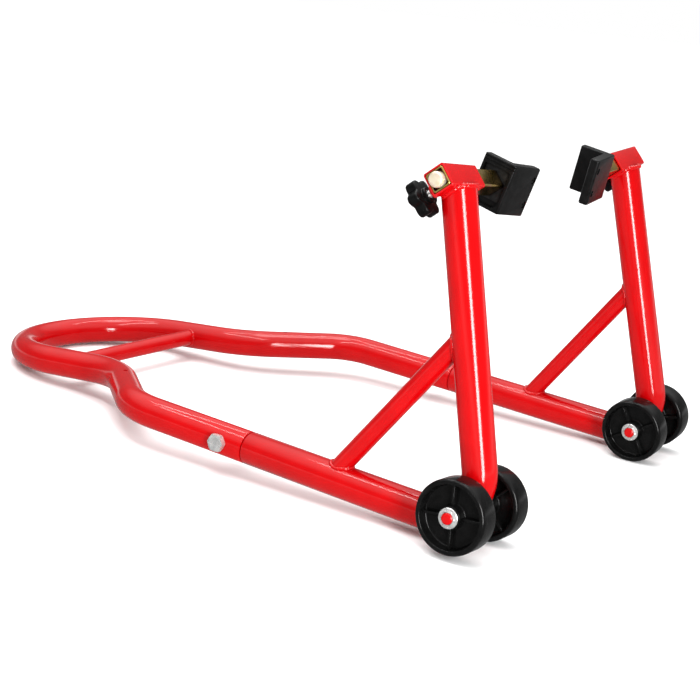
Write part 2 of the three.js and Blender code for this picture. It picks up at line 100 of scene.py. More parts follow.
KNOB_R, KNOB_VALLEY, KNOB_LOBES, KNOB_BASE, KNOB_TOP = 21.5, 16.5, 6, 27.5, 40.5
KNOB_FACETS, KNOB_LOW_EDGE, KNOB_HIGH_EDGE = KNOB_LOBES * 24, 2.0, 2.4
CAP_R, CAP_RIM, CAP_FLOOR_R, CAP_DEPTH = 11.5, 10.6, 9.8, 0.9
BOSS_R, BOSS_BASE = 9, 24

# Swingarm pads, their brackets and screws.
PAD_TILT = {"left": -14.6, "right": -11}
PAD_YAW, PAD_YAW_AT = -3.8, -88
PAD_A, PAD_B, PAD_BACK, PAD_FACE, PAD_LIP_FACE, PAD_LIP = 21, 28.4, -84.7, -96, -141, 12
PAD_SIDE_GROOVES, SIDE_GROOVE_HALF, SIDE_GROOVE_DEPTH = (-87.6, -90.4, -93.2), 0.35, 0.7
PAD_BACK_GROOVES, BACK_GROOVE_HALF, BACK_GROOVE_DEPTH = (3.2, 6.4), 0.8, 1.2
POCKET_A, POCKET_LOW, POCKET_HIGH, POCKET_FLOOR = 17, -25, 18.1, -91.8
PLATE_T, PLATE_A0, PLATE_A1, PLATE_B, PLATE_BACK, PLATE_END = 3, -16.4, 15, 17.5, -88.5, -137
SCREW_O, SCREW_B, SCREW_R, SCREW_HEAD_R, SCREW_HEAD = -133.5, 14.2, 2, 3.8, 2.4
SCREW_TOP, SCREW_TIP, SCREW_KEY, SCREW_KEY_DEPTH = 19.8, 11.2, 3, 1.4

SIDES = ("left", "right")
RECORD = frame["record"]
SLOT_OF = {part["node"]: part["material_slot"] for part in RECORD["subparts"]}
BODY_OF = {node: body for body, nodes in RECORD["behaviour"]["bodies"].items() for node in nodes}


# ---- frames -----------------------------------------------------------------------------------------------
def frame_at(x, y, z, origin):
    """A frame with the given axes and origin, as a 4x4 matrix."""
    matrix = Matrix((x, y, z)).transposed().to_4x4()
    matrix.translation = origin
    return matrix


def across(point, direction):
    """A frame at a point whose z runs along the direction."""
    x = direction.orthogonal().normalized()
    return frame_at(x, direction.cross(x).normalized(), direction, point)


def left_frame(tilt, origin):
    """x is +X, y leans inboard by tilt degrees, z points outboard and up."""
    sin, cos = math.sin(radians(tilt)), math.cos(radians(tilt))
    return frame_at(Vector((1, 0, 0)), Vector((0, sin, cos)), Vector((0, -cos, sin)), origin)


def turn(degrees, axis):
    return Matrix.Rotation(radians(degrees), 4, axis)


def shift(x, y, z):
    return Matrix.Translation((x, y, z))


def rail_u(s):
    return RAIL_DROP - s * math.tan(radians(RAIL_RISE))


def upright_s(u):
    return UPRIGHT_OFFSET - u * math.tan(radians(UPRIGHT_LEAN))


SIDE = left_frame(LEAN, AXLE_AT)
HEAD = left_frame(HEAD_TILT, SIDE @ Vector((HEAD_S, HEAD_U, 0)))
SQUARE = HEAD @ turn(HEAD_TURN, "Z")
KNOB = SQUARE @ shift(0, CLAMP_Y, CLAMP_O) @ turn(-90, "Y")
BOLT = SIDE @ shift(BOLT_S, rail_u(BOLT_S), 0)


def pad_frame(hand):
    """x runs from the plate's rear edge to the lip, y up the plate, z outboard."""
    toe_in = shift(0, 0, PAD_YAW_AT) @ turn(PAD_YAW, "Y") @ shift(0, 0, -PAD_YAW_AT)
    return HEAD @ turn(PAD_TILT[hand], "Z") @ toe_in


# ---- outlines and lofts -----------------------------------------------------------------------------------
def fillet(points, radii, steps=4):
    """The closed 2D polygon with its corners rounded; radii is one number or one per point."""
    count = len(points)
    radii = [radii] * count if isinstance(radii, (int, float)) else radii
    out = []
    for i, (point, radius) in enumerate(zip(points, radii)):
        here = Vector(point)
        if radius <= 0:
            out.append(here)
            continue
        before = (Vector(points[i - 1]) - here).normalized()
        after = (Vector(points[(i + 1) % count]) - here).normalized()
        opening = before.angle(after)
        middle = here + (before + after).normalized() * (radius / math.sin(opening / 2))
        start = here + before * (radius / math.tan(opening / 2)) - middle
        end = here + after * (radius / math.tan(opening / 2)) - middle
        first = math.atan2(start.y, start.x)
        bend = math.atan2(start.x * end.y - start.y * end.x, start.dot(end))
        for k in range(steps + 1):
            angle = first + bend * k / steps
            out.append(middle + Vector((math.cos(angle), math.sin(angle))) * radius)
    return out


def rectangle(x0, x1, y0, y1, corner=0):
    return fillet([(x0, y0), (x1, y0), (x1, y1), (x0, y1)], corner, 5)


def square(side, corner):
    half = side / 2
    return rectangle(-half, half, -half, half, corner)


def circle(radius, count):
    angles = [2 * math.pi * i / count for i in range(count)]
    return [Vector((radius * math.cos(a), radius * math.sin(a))) for a in angles]


def level(outline, z):
    return [Vector((p[0], p[1], z)) for p in outline]


def rounded_to(outline, radius):
    """A circle with one point on the ray through each point of the outline."""
    return [Vector(p[:2]).normalized() * radius for p in outline]


def inset(outline, distance):
    """The closed outline moved inward by distance along its corner normals."""
    if distance < 1e-6:
        return outline
    out = []
    for i, p in enumerate(outline):
        a, b = Vector(outline[i - 1][:2]), Vector(outline[(i + 1) % len(outline)][:2])
        here = Vector(p[:2])
        first, second = (here - a).normalized(), (b - here).normalized()
        along = (first + second).normalized()
        normal = Vector((-along.y, along.x))
        out.append(here + normal * (distance / max(0.3, along.dot(first))))
    return out


def loft(rings, closed=False):
    """Vertices and faces through rings of equal length; a ring of one point is a pole."""
    verts, faces, starts = [], [], []
    for ring in rings:
        starts.append(len(verts))
        verts.extend(Vector(p) for p in ring)
    pairs = list(zip(range(len(rings)), range(1, len(rings))))
    if closed:
        pairs.append((len(rings) - 1, 0))
    for i, j in pairs:
        a, b, n, m = starts[i], starts[j], len(rings[i]), len(rings[j])
        for k in range(max(n, m)):
            quad = [a + k % n, a + (k + 1) % n, b + (k + 1) % m, b + k % m]
            faces.append(list(dict.fromkeys(quad)))
    if not closed:
        for i in (0, len(rings) - 1):
            if len(rings[i]) > 1:
                faces.append([starts[i] + k for k in range(len(rings[i]))])
    return verts, faces


def merged(*solids):
    """Several shells as one solid."""
    verts, faces = [], []
    for more_verts, more_faces in solids:
        base = len(verts)
        verts.extend(more_verts)
        faces.extend([[base + i for i in face] for face in more_faces])
    return verts, faces


def placed(solid, matrix):
    return [matrix @ v for v in solid[0]], solid[1]


def mirrored(solid):
    return [Vector((v.x, -v.y, v.z)) for v in solid[0]], solid[1]


def turned(profile, facets, closed=False):
    """A body of revolution about local z from (radius, height) points."""
    rings = []
    for radius, height in profile:
        rings.append(level(circle(radius, facets), height) if radius > 0 else [Vector((0, 0, height))])
    return loft(rings, closed)


def quarter(size, steps=4):
    """(inward, along) steps of a quarter-round edge, from the end face to the wall."""
    angles = [math.pi / 2 * k / steps for k in range(steps + 1)]
    return [(size * (1 - math.sin(a)), size * (1 - math.cos(a))) for a in angles]


def prism(outline, z0, z1, edge=0, steps=3):
    """The outline extruded from z0 to z1 with rounded end edges."""
    steps_in = quarter(edge, steps) if edge > 0 else [(0, 0)]
    low = [level(inset(outline, inward), z0 + along) for inward, along in steps_in]
    high = [level(inset(outline, inward), z1 - along) for inward, along in reversed(steps_in)]
    return loft(low + high)


def rod(radius, z0, z1):
    return prism(circle(radius, 48), z0, z1)


def box(xs, ys, zs):
    return prism(rectangle(*xs, *ys), *zs)


# ---- making and cutting mesh objects ----------------------------------------------------------------------
def mesh_object(name, solid, scale):
    """A mesh object with merged vertices and outward faces."""
    mesh = bpy.data.meshes.new(name)
    mesh.from_pydata([Vector(v) * scale for v in solid[0]], [], solid[1])
    work = bmesh.new()
    work.from_mesh(mesh)
    bmesh.ops.remove_doubles(work, verts=work.verts, dist=1e-4 * scale)
    bmesh.ops.recalc_face_normals(work, faces=work.faces)
    work.to_mesh(mesh)
    work.free()
    made = bpy.data.objects.new(name, mesh)
    bpy.context.scene.collection.objects.link(made)
    return made


def carve(solid, *tools):
    """The solid with each tool cut away, still in millimetres."""
    body = mesh_object("blank", solid, 1)
    used = [body]
    for tool in tools:
        cutter = mesh_object("cutter", tool, 1)
        cut = body.modifiers.new("cut", "BOOLEAN")
        cut.operation = "DIFFERENCE"
        cut.solver = "EXACT"
        cut.object = cutter
        used.append(cutter)
    graph = bpy.context.evaluated_depsgraph_get()
    result = body.evaluated_get(graph).to_mesh()
    shape = [v.co.copy() for v in result.vertices], [list(f.vertices) for f in result.polygons]
    for each in used:
        bpy.data.meshes.remove(each.data)
    return shape


def piece(name, solid, like, look=None, stands_for=True):
    """A finished object riding on the body of a CAD node, in that node's slot material unless given a look,
    standing for that node unless told not to.
    """
    made = mesh_object(name, solid, MM)
    made.data.shade_smooth()
    made.data.set_sharp_from_angle(angle=radians(CREASE))
    made.data.materials.append(MATERIALS[look or SLOT_OF[like]])
    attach(made, BODY_OF[like])
    if stands_for:
        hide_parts(like)


def both(name, build, look=None, stands_for=True, like=None):
    """A left piece and its mirror image; build takes the side's name and gives the left-hand shape."""
    for hand in SIDES:
        shape = build(hand)
        shape = shape if hand == "left" else mirrored(shape)
        piece(f"{hand}_{name}_fine", shape, f"{hand}_{like or name}", look, stands_for)


# ---- paths and tubes --------------------------------------------------------------------------------------
def rounded_path(corners, radii, step=3):
    """Points and tangents of a polyline with rounded inner corners, about one station per step degrees."""
    stations = [(corners[0].copy(), (corners[1] - corners[0]).normalized())]
    for i in range(1, len(corners) - 1):
        before = (corners[i - 1] - corners[i]).normalized()
        after = (corners[i + 1] - corners[i]).normalized()
        opening = before.angle(after)
        radius = radii[i - 1]
        centre = corners[i] + (before + after).normalized() * (radius / math.sin(opening / 2))
        start = corners[i] + before * (radius / math.tan(opening / 2)) - centre
        axis = (-before).cross(after).normalized()
        count = max(2, math.ceil(math.degrees(math.pi - opening) / step))
        for k in range(count + 1):
            spin = Matrix.Rotation((math.pi - opening) * k / count, 3, axis)
            stations.append((centre + spin @ start, spin @ -before))
    stations.append((corners[-1].copy(), (corners[-1] - corners[-2]).normalized()))
    return stations


def carried_frames(stations):
    """One frame per station, z along the path, turned as little as possible from one to the next."""
    tangent = stations[0][1]
    x = tangent.orthogonal().normalized()
    frames = []
    for point, direction in stations:
        x = (tangent.rotation_difference(direction) @ x).normalized()
        x = (x - direction * x.dot(direction)).normalized()
        tangent = direction
        frames.append(frame_at(x, direction.cross(x), direction, point))
    return frames


def end_rings(here, profile, sign):
    """Rings that close a main tube's end, from (radius, depth into the tube) points."""
    rings = []
    for radius, depth in profile:
        outline = circle(radius, TUBE_FACETS) if radius > 0 else [Vector((0, 0))]
        rings.append([here @ p for p in level(outline, sign * depth)])
    return rings


def main_tube(stations, start, end_closing):
    """A tube along the stations; start is an end profile, end_closing gives the rings of the other end."""
    frames = carried_frames(stations)
    wall = level(circle(TUBE_R, TUBE_FACETS), 0)
    middle = [[f @ p for p in wall] for f in frames[1:-1]]
    return loft(end_rings(frames[0], start, 1)[::-1] + middle + end_closing(frames[-1]))


# ---- where a tube meets its neighbour ---------------------------------------------------------------------
def distance_to_path(points, stations):
    """Distance of each point from a polyline."""
    line = np.array([tuple(s[0]) for s in stations])
    a, b = line[:-1], line[1:]
    ab = b - a
    ap = points[:, None, :] - a[None]
    t = np.clip((ap * ab).sum(-1) / np.maximum((ab * ab).sum(-1), 1e-9), 0, 1)
    gap = ap - t[..., None] * ab[None]
    return np.sqrt((gap * gap).sum(-1)).min(1)


def tube_distance(stations, radius):
    return lambda points: distance_to_path(points, stations) - radius


def square_distance(matrix, side, corner):
    """Signed distance from an endless square bar along the matrix's local z."""
    inverse = np.array(matrix.inverted())
    half = side / 2 - corner

    def distance(points):
        local = points @ inverse[:3, :3].T + inverse[:3, 3]
        q = np.abs(local[:, :2]) - half
        outside = np.sqrt((np.maximum(q, 0) ** 2).sum(1))
        return outside + np.minimum(q.max(1), 0) - corner
    return distance


def travel(points, direction, distance, gap, limit):
    """Each point moved along the direction until it is gap away from the surface, or by the limit."""
    start = np.array([tuple(p) for p in points])
    step = np.array(tuple(direction))
    gone = np.zeros(len(points))
    for _ in range(SURFACE_STEPS):
        gone = np.clip(gone + distance(start + gone[:, None] * step) - gap, 0, limit)
    return [Vector(p) for p in start + gone[:, None] * step]


def fitted_end(here, direction, radius, distance, facets, limit=NO_LIMIT):
    """Rings from a straight tube's wall to its axis, closing it against a surface."""
    rings = []
    for share in (1, 0.96, 0.75, 0.5, 0.25):
        ring = [here @ p for p in level(circle(radius * share, facets), 0)]
        rings.append(travel(ring, direction, distance, GAP, limit))
    rings.append(travel([here.translation], direction, distance, GAP, limit))
    return rings


def fitted_bar(start, end, distance):
    """A small straight tube whose two ends follow the surface it is welded to."""
    direction = (end - start).normalized()
    here = across((start + end) / 2, direction)
    first = fitted_end(here, -direction, SMALL_TUBE_R, distance, SMALL_TUBE_FACETS)
    last = fitted_end(here, direction, SMALL_TUBE_R, distance, SMALL_TUBE_FACETS)
    return loft(first[::-1] + last)


def bead(line, outs, size, phase, pitch=BEAD_PITCH):
    """A rippled weld bead along a closed line of points with their outward directions."""
    count = len(line)
    length = sum((line[i] - line[i - 1]).length for i in range(count))
    ripples = max(6, round(length / pitch))
    rings = []
    for i, here in enumerate(line):
        along = (line[(i + 1) % count] - line[i - 1]).normalized()
        side = along.cross(outs[i]).normalized()
        angle = 2 * math.pi * i / count
        swell = 1 + BEAD_RIPPLE * math.sin(ripples * angle) + BEAD_WANDER * math.sin(3 * angle + phase)
        arc = [2 * math.pi * k / BEAD_FACETS for k in range(BEAD_FACETS)]
        rings.append([here + (outs[i] * math.cos(a) + side * math.sin(a)) * size * swell for a in arc])
    return loft(rings, closed=True)


def tube_weld(point, direction, radius, distance, size, phase, limit=NO_LIMIT):
    """A bead where a straight tube of the given radius runs into a surface."""
    here = across(point, direction)
    wall = [here @ p for p in level(circle(radius, BEAD_STATIONS), 0)]
    line = travel(wall, direction, distance, 0.0, limit)
    return bead(line, [(p - point).normalized() for p in wall], size, phase)


def bar_welds(start, end, distance, size, phases):
    """The beads at the two ends of a fitted bar."""
    middle, along = (start + end) / 2, (end - start).normalized()
    beads = []
    for way, phase in zip((-along, along), phases):
        beads.append(tube_weld(middle, way, SMALL_TUBE_R, distance, size, phase))
    return merged(*beads)


# ---- side frame -------------------------------------------------------------------------------------------
def in_side(s, u):
    return SIDE @ Vector((s, u, 0))


def side_stations():
    slope, lean = math.tan(radians(RAIL_RISE)), math.tan(radians(UPRIGHT_LEAN))
    corner = (UPRIGHT_OFFSET - lean * RAIL_DROP) / (1 - lean * slope)
    rail_end = JOINT_S + JOINT_GAP
    corners = [in_side(rail_end, rail_u(rail_end)), in_side(corner, rail_u(corner)),
               in_side(upright_s(UPRIGHT_TOP), UPRIGHT_TOP)]
    return rounded_path(corners, [CORNER_BEND_R])


SIDE_STATIONS = side_stations()
SIDE_WALL = tube_distance(SIDE_STATIONS, TUBE_R)
HEAD_WALL_AT = square_distance(SQUARE, HEAD_SIDE, HEAD_CORNER)
UPRIGHT_DOWN = (SIDE_STATIONS[-2][0] - SIDE_STATIONS[-1][0]).normalized()


def side_tube(hand):
    shoulder = [(TUBE_R, 2.0), (TUBE_R - 0.6, 0.6), (TUBE_R - 1.6, 0), (SPIGOT_R, 0),
                (SPIGOT_R, 1.5 - SPIGOT_LENGTH), (SPIGOT_R - 1.5, -SPIGOT_LENGTH), (0, -SPIGOT_LENGTH)]

    def top(last):
        here = last @ shift(0, 0, -UPRIGHT_REACH)
        return fitted_end(here, -UPRIGHT_DOWN, TUBE_R, HEAD_WALL_AT, TUBE_FACETS, UPRIGHT_REACH)
    return main_tube(SIDE_STATIONS, shoulder, top)


def head_weld(hand):
    foot = SIDE_STATIONS[-1][0] + UPRIGHT_DOWN * UPRIGHT_REACH
    return tube_weld(foot, -UPRIGHT_DOWN, TUBE_R - 0.6, HEAD_WALL_AT, HEAD_BEAD, 0.7, UPRIGHT_REACH)


def brace_ends():
    return in_side(BRACE_RAIL_S, rail_u(BRACE_RAIL_S)), in_side(upright_s(BRACE_UPRIGHT_U), BRACE_UPRIGHT_U)


def brace_tube(hand):
    return fitted_bar(*brace_ends(), SIDE_WALL)


def brace_welds(hand):
    return bar_welds(*brace_ends(), SIDE_WALL, BRACE_BEAD, phases=(0.4, 1.9))


def head_tube(hand):
    outer = square(HEAD_SIDE, HEAD_CORNER)
    inner = square(HEAD_SIDE - 2 * HEAD_WALL, HEAD_INNER_CORNER)
    end, reach = inset(outer, HEAD_EDGE), HEAD_HALF - HEAD_EDGE
    levels = [(end, -HEAD_HALF), (outer, -reach), (outer, reach), (end, HEAD_HALF), (inner, HEAD_HALF),
              (inner, -HEAD_HALF)]
    pipe = loft([level(outline, z) for outline, z in levels], closed=True)
    hole = rod(NUT8_BORE, HEAD_SIDE / 2 - 5, HEAD_SIDE / 2 + 3)
    return placed(carve(pipe, placed(hole, SQUARE.inverted() @ KNOB)), SQUARE)


def hex_outline(flats, per_side=8):
    corners = circle(flats / math.sqrt(3), 6)
    return [corners[i].lerp(corners[(i + 1) % 6], k / per_side) for i in range(6) for k in range(per_side)]


def hexagonal(flats, z0, z1, bore=0, dish=0.0):
    """A hexagonal body whose corners are chamfered outside HEX_FACE of its width; bore 0 leaves it whole."""
    outline = hex_outline(flats)
    inner = flats / 2 * HEX_FACE
    drop = [max(0.0, p.length - inner) * HEX_CHAMFER for p in outline]
    low = [Vector((p.x, p.y, z0 + d)) for p, d in zip(outline, drop)]
    high = [Vector((p.x, p.y, z1 - d)) for p, d in zip(outline, drop)]
    rings = [level(rounded_to(outline, inner), z0), low, high, level(rounded_to(outline, inner), z1)]
    if bore == 0:
        if dish > 0:
            rings.append(level(rounded_to(outline, inner * 0.72), z1))
            rings.append(level(rounded_to(outline, inner * 0.6), z1 - dish))
        return loft(rings)
    mouth = bore + 0.6
    bored = [level(rounded_to(outline, r), z) for r, z in
             ((mouth, z1), (bore, z1 - 0.6), (bore, z0 + 0.6), (mouth, z0))]
    return loft(rings + bored, closed=True)


def threaded(radius, pitch, z0, z1, plain_from=None):
    """A rod with thread ridges from z0 up to plain_from, then plain to z1, chamfered at z0."""
    depth = 0.45 * pitch
    profile = [(0, z0), (radius - 1.1, z0), (radius - 0.3, z0 + 0.8)]
    z = z0 + 1
    ridged_to = z1 - 1 if plain_from is None else plain_from
    while z + pitch <= ridged_to:
        profile += [(radius - depth, z), (radius, z + 0.4 * pitch), (radius, z + 0.6 * pitch)]
        z += pitch
    profile += [(radius - depth, z), (radius, z + 0.4), (radius, z1), (0, z1)]
    return turned(profile, 48)


def clamp_nut(hand):
    base = HEAD_SIDE / 2 + GAP
    return placed(hexagonal(NUT8_FLATS, base, base + NUT8_HEIGHT, NUT8_BORE), KNOB)


def clamp_nut_weld(hand):
    outline = hex_outline(NUT8_FLATS + 0.6)
    line = [KNOB @ p for p in level(outline, HEAD_SIDE / 2 + 0.2)]
    centre = KNOB @ Vector((0, 0, HEAD_SIDE / 2 + 0.2))
    return bead(line, [(p - centre).normalized() for p in line], NUT_BEAD, 0.5, NUT_BEAD_PITCH)


# ---- wheels -----------------------------------------------------------------------------------------------
def axle(hand):
    dome = [(0, 0), (3.6, 0), (5.2, 0.3), (6.0, 1.0), (AXLE_R, 2.1)]
    ends = [(radius, AXLE_END - drop) for radius, drop in dome]
    profile = [(radius, -height) for radius, height in ends] + ends[::-1]
    return placed(turned(profile, 56), SIDE)


def spacer(side):
    def build(hand):
        here = SIDE @ shift(0, 0, side * (WHEEL_IN - 2))
        inward = (SIDE.to_3x3() @ Vector((0, 0, -side))).normalized()
        far = side * (WHEEL_IN - GAP)
        rings = []
        for radius in (SPACER_R, AXLE_R + GAP):
            wall = circle(radius, SPACER_FACETS)
            near = travel([here @ p for p in level(wall, 0)], inward, SIDE_WALL, GAP, WHEEL_IN - 12)
            rings.append([near, [SIDE @ p for p in level(wall, far)]])
        (near, outer), (bore_near, bore_far) = rings
        return loft([near, outer, bore_far, bore_near], closed=True)
    return build


def wheel(where, side):
    middle = side * (WHEEL_IN + WHEEL_HALF)
    outline = [
        (BORE_R, -WHEEL_HALF), (HUB_R, -WHEEL_HALF), (HUB_R, -WEB_HALF), (RIM_R, -WEB_HALF),
        (RIM_R + 1.5, -WHEEL_HALF), (WHEEL_R, -WHEEL_HALF), (WHEEL_R, WHEEL_HALF), (RIM_R + 1.5, WHEEL_HALF),
        (RIM_R, WEB_HALF), (HUB_R, WEB_HALF), (HUB_R, WHEEL_HALF), (BORE_R, WHEEL_HALF),
    ]
    radii = [0.7, 1.2, 1.8, 2.6, 1.4, 4.0, 4.0, 1.4, 2.6, 1.8, 1.2, 0.7]

    def build(hand):
        section = [tuple(p) for p in fillet(outline, radii, steps=5)]
        shells = [turned(section, 96, closed=True)]
        reach = WHEEL_HALF - RIB_RECESS
        rib = prism(rectangle(HUB_R - 1, RIM_R + 1.2, -RIB_HALF, RIB_HALF), -reach, reach, edge=RIB_EDGE)
        for i in range(RIBS):
            shells.append(placed(rib, turn(WHEEL_TURN[hand][where] + 360 * i / RIBS, "Z")))
        return placed(merged(*shells), SIDE @ shift(0, 0, middle))
    return build


def retainer(side):
    """A dished push-on washer with spring teeth round the axle."""
    def build(hand):
        base = WHEEL_IN + 2 * WHEEL_HALF + GAP
        rings = []
        for i in range(RETAINER_STATIONS):
            angle = 2 * math.pi * i / RETAINER_STATIONS
            slit = SLIT_DEPTH if i % TOOTH_STATIONS < SLIT_STATIONS else 0.0
            hole = AXLE_R + GAP + slit
            section = [(hole, base + 1.6), (8.2, base), (RETAINER_R - 0.4, base), (RETAINER_R, base + 0.4),
                       (RETAINER_R, base + 1.2), (RETAINER_R - 0.4, base + 1.6), (9.6, base + 1.7),
                       (8.4, base + 2.2), (hole, base + 3.0)]
            rings.append([Vector((r * math.cos(angle), r * math.sin(angle), z)) for r, z in section])
        return placed(loft(rings, closed=True), SIDE @ turn(0 if side > 0 else 180, "X"))
    return build


# ---- handle -----------------------------------------------------------------------------------------------
def on_loop(x, y):
    slope = (NECK_Z - TUBE_R) / (NECK_X - LOOP_END_X)
    return Vector((AXLE_AT.x + x, y, TUBE_R + (x - LOOP_END_X) * slope))


def handle_corners():
    return [in_side(JOINT_S, rail_u(JOINT_S)), in_side(SHOULDER_S, rail_u(SHOULDER_S)),
            on_loop(NECK_X, -NECK_Y), on_loop(LOOP_END_X, -LOOP_END_R)]


def handle_stations():
    left = handle_corners()
    right = [Vector((p.x, -p.y, p.z)) for p in reversed(left)]
    end_bend = LOOP_END_R - 0.5
    bends = [SHOULDER_BEND_R, NECK_BEND_R, end_bend, end_bend, NECK_BEND_R, SHOULDER_BEND_R]
    return rounded_path(left + right, bends, step=2.5)


HANDLE_STATIONS = handle_stations()
HANDLE_WALL = tube_distance(HANDLE_STATIONS, TUBE_R)


def vent_hole():
    _, shoulder, neck, _ = handle_corners()
    middle = shoulder.lerp(neck, VENT_SHARE)
    return placed(rod(VENT_R, TUBE_R - VENT_DEPTH, TUBE_R + 5), shift(*middle))


def handle_loop():
    socket = [(TUBE_R, 1.3), (TUBE_R - 0.35, 0.45), (TUBE_R - 1.1, 0), (SOCKET_R + 0.3, 0),
              (SOCKET_R, 0.4), (SOCKET_R, SOCKET_LENGTH), (0, SOCKET_LENGTH)]
    body = main_tube(HANDLE_STATIONS, socket, lambda last: end_rings(last, socket, -1))
    vent = vent_hole()
    return carve(body, vent, mirrored(vent))


def crossbar_ends():
    return on_loop(CROSSBAR_X, -LOOP_END_R), on_loop(CROSSBAR_X, LOOP_END_R)


def handle_crossbar():
    return fitted_bar(*crossbar_ends(), HANDLE_WALL)


def crossbar_welds():
    return bar_welds(*crossbar_ends(), HANDLE_WALL, CROSSBAR_BEAD, phases=(0.3, 2.2))


def joint_bolt(hand):
    seat = TUBE_R + GAP
    end = -(seat + BOLT_NUT + BOLT_TAIL)
    head = hexagonal(BOLT_FLATS, seat, seat + BOLT_HEAD, dish=BOLT_DISH)
    shank = threaded(BOLT_SHANK, BOLT_PITCH, end, seat + 1, plain_from=-seat + 1)
    return placed(merged(head, shank), BOLT)


def joint_nut(hand):
    seat = -(TUBE_R + GAP)
    return placed(hexagonal(BOLT_FLATS, seat - BOLT_NUT, seat, BOLT_SHANK + GAP), BOLT)


# ---- slide, pivot and clamp -------------------------------------------------------------------------------
def slide_tube(hand):
    outer = square(SLIDE_SIDE, SLIDE_CORNER)
    inner = square(SLIDE_SIDE - 2 * SLIDE_WALL, SLIDE_INNER_CORNER)
    end = inset(outer, SLIDE_EDGE)
    bore = rounded_to(outer, PIVOT_R + GAP)
    levels = [
        (end, SLIDE_IN), (outer, SLIDE_IN + SLIDE_EDGE), (outer, SLIDE_OUT - SLIDE_EDGE), (end, SLIDE_OUT),
        (inner, SLIDE_OUT), (inner, SLIDE_OUT - SLIDE_EDGE), (inner, SLIDE_FLOOR),
        (bore, SLIDE_FLOOR), (bore, SLIDE_IN),
    ]
    return placed(loft([level(outline, z) for outline, z in levels], closed=True), SQUARE)


def pivot_bolt(hand):
    profile = [
        (0, PIVOT_END), (4.3, PIVOT_END), (PIVOT_R, PIVOT_END + 0.7), (PIVOT_R, PIVOT_BASE),
        (PIVOT_HEAD_R, PIVOT_BASE), (PIVOT_HEAD_R, PIVOT_TOP - 2.4), (PIVOT_HEAD_R - 0.4, PIVOT_TOP - 1.3),
        (PIVOT_HEAD_R - 1.3, PIVOT_TOP - 0.5), (PIVOT_HEAD_R - 2.8, PIVOT_TOP - 0.1), (0, PIVOT_TOP),
    ]
    return placed(turned(profile, 72), HEAD)


def star(z, inward):
    """The knob's lobed outline at a height, moved inward for its rounded edges."""
    outline = []
    for i in range(KNOB_FACETS):
        angle = 2 * math.pi * i / KNOB_FACETS
        wave = (0.5 + 0.5 * math.cos(KNOB_LOBES * angle)) ** 0.7
        radius = KNOB_VALLEY + (KNOB_R - KNOB_VALLEY) * wave
        outline.append(Vector((radius * math.cos(angle), radius * math.sin(angle))))
    return level(inset(outline, inward), z)


def knob(hand):
    bore, deep, sunk = STUD_R + GAP, STUD_END + GAP, KNOB_TOP - CAP_DEPTH
    boss = [(bore, deep), (bore, BOSS_BASE + 0.5), (bore + 0.5, BOSS_BASE), (BOSS_R - 0.8, BOSS_BASE),
            (BOSS_R, BOSS_BASE + 0.8), (BOSS_R, KNOB_BASE - 0.6), (BOSS_R + 0.6, KNOB_BASE)]
    cap = [(CAP_R, KNOB_TOP), (CAP_RIM, KNOB_TOP - 0.7), (CAP_FLOOR_R, sunk)]
    rings = [[Vector((0, 0, deep))]]
    rings += [level(circle(radius, KNOB_FACETS), z) for radius, z in boss]
    rings += [star(KNOB_BASE + along, inward) for inward, along in quarter(KNOB_LOW_EDGE)]
    rings += [star(KNOB_TOP - along, inward) for inward, along in quarter(KNOB_HIGH_EDGE)[::-1]]
    rings += [level(circle(radius, KNOB_FACETS), z) for radius, z in cap]
    rings.append([Vector((0, 0, sunk))])
    return placed(loft(rings), KNOB)


def knob_stud(hand):
    return placed(threaded(STUD_R, STUD_PITCH, STUD_TIP, STUD_END), KNOB)


# ---- swingarm pad -----------------------------------------------------------------------------------------
ALONG_PAD = turn(90, "X")


def at_screw(b):
    """The frame of the pad screw at height b, its z pointing out of the pad."""
    return shift(0, b, SCREW_O) @ turn(90, "Y")


def pad_block():
    root = PAD_A - PAD_LIP
    corners = [(-PAD_A, PAD_BACK), (-PAD_A, PAD_FACE), (root, PAD_FACE), (root, PAD_LIP_FACE),
               (PAD_A, PAD_LIP_FACE), (PAD_A, PAD_BACK)]
    section = fillet(corners, [2.4, 2.4, 1.0, 3.2, 3.2, 2.4])
    return placed(prism(section, -PAD_B, PAD_B, edge=2.0, steps=4), ALONG_PAD)


def pad_openings():
    """The pocket in the back and the slot that takes the bracket's plate."""
    corners = [(-POCKET_A, POCKET_LOW), (POCKET_A, POCKET_LOW),
               (POCKET_A, POCKET_HIGH), (-POCKET_A, POCKET_HIGH)]
    pocket = prism(fillet(corners, [9, 9, 1.5, 1.5], steps=8), POCKET_FLOOR, PAD_BACK + 1)
    slot = box((PLATE_A1 - PLATE_T - GAP, PLATE_A1 + GAP), (-PLATE_B - GAP, PLATE_B + GAP),
               (PLATE_END - GAP, POCKET_FLOOR + 1))
    return [pocket, slot]


def pad_screw_holes():
    holes = []
    for b in (-SCREW_B, SCREW_B):
        shank = rod(SCREW_R + GAP, PLATE_A1 - PLATE_T - 1.2, PAD_A + 1)
        head = rod(SCREW_HEAD_R + GAP, SCREW_TOP - SCREW_HEAD - GAP, PAD_A + 1)
        holes += [placed(shank, at_screw(b)), placed(head, at_screw(b))]
    return holes


def pad_grooves():
    """Fine grooves on the top edge and two wider ones across the back near the top."""
    grooves = []
    for o in PAD_SIDE_GROOVES:
        grooves.append(box((-PAD_A - 1, PAD_A - PAD_LIP + 2), (PAD_B - SIDE_GROOVE_DEPTH, PAD_B + 1),
                           (o - SIDE_GROOVE_HALF, o + SIDE_GROOVE_HALF)))
    for down in PAD_BACK_GROOVES:
        b = PAD_B - down
        grooves.append(box((-PAD_A - 1, PAD_A + 1), (b - BACK_GROOVE_HALF, b + BACK_GROOVE_HALF),
                           (PAD_BACK - BACK_GROOVE_DEPTH, PAD_BACK + 1)))
    return grooves


